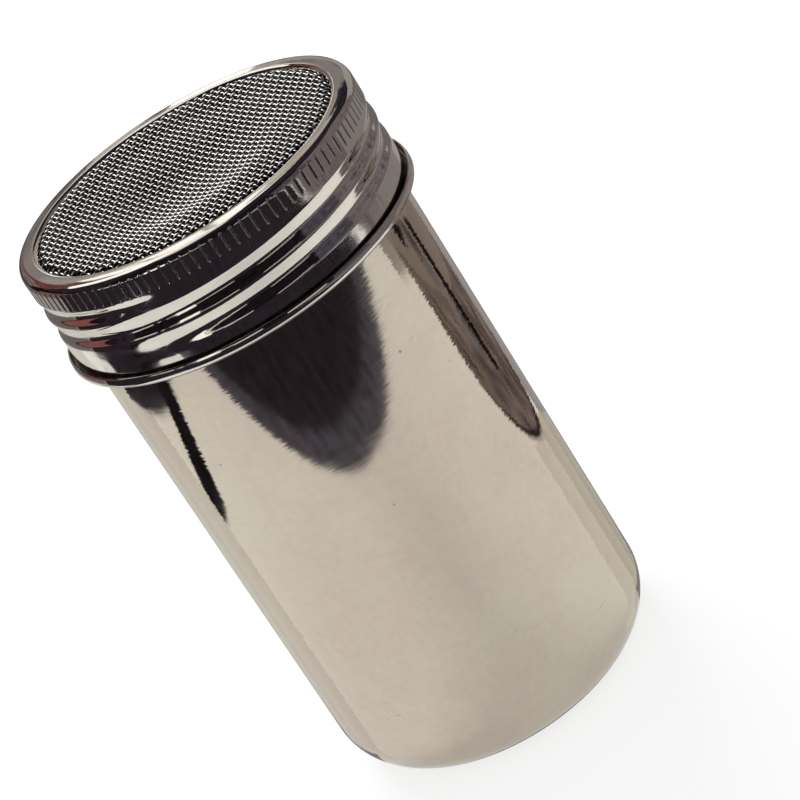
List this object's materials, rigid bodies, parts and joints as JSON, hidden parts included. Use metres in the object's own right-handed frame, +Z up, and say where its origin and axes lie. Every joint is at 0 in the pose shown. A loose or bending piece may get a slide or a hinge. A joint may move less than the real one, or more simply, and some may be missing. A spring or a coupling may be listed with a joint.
{
  "type": "spice shaker",
  "caption": "Round steel shaker can with a screw-on knurled lid that holds a woven wire sieve for dusting spice or sugar.",
  "frame": {"origin": "centre of the ring that the can stands on, at the surface it stands on", "axes": "+Z up along the can's axis, towards the sieve; -Y faces the front view; the hinge turns about +Z"},
  "size_m": [0.0727, 0.0726, 0.1246],
  "materials": {
    "can_steel": "finely brushed stainless sheet",
    "lid_steel": "bright pressed stainless sheet",
    "sieve_wire": "bright drawn wire",
    "ring_steel": "plain pressed stainless sheet"
  },
  "bodies": {
    "can": {"body_can": "can_steel"},
    "ring": {"retaining_ring": "ring_steel"},
    "lid": {"lid_shell": "lid_steel", "screen_warp_wires": "sieve_wire", "screen_weft_wires": "sieve_wire"}
  },
  "joints": [
    {"name": "lid_lift", "type": "slide", "parent": "can", "child": "ring", "axis": [0, 0, 1], "range_m": [0, 0.0194]},
    {"name": "lid_turn", "type": "hinge", "parent": "ring", "child": "lid", "pos_m": [0, 0, 0.112], "axis": [0, 0, 1], "range_deg": [0, 720]}
  ],
  "couplings": [
    {"joint": "lid_lift", "follows": "lid_turn", "m_per_rad": 0.0015279}
  ]
}
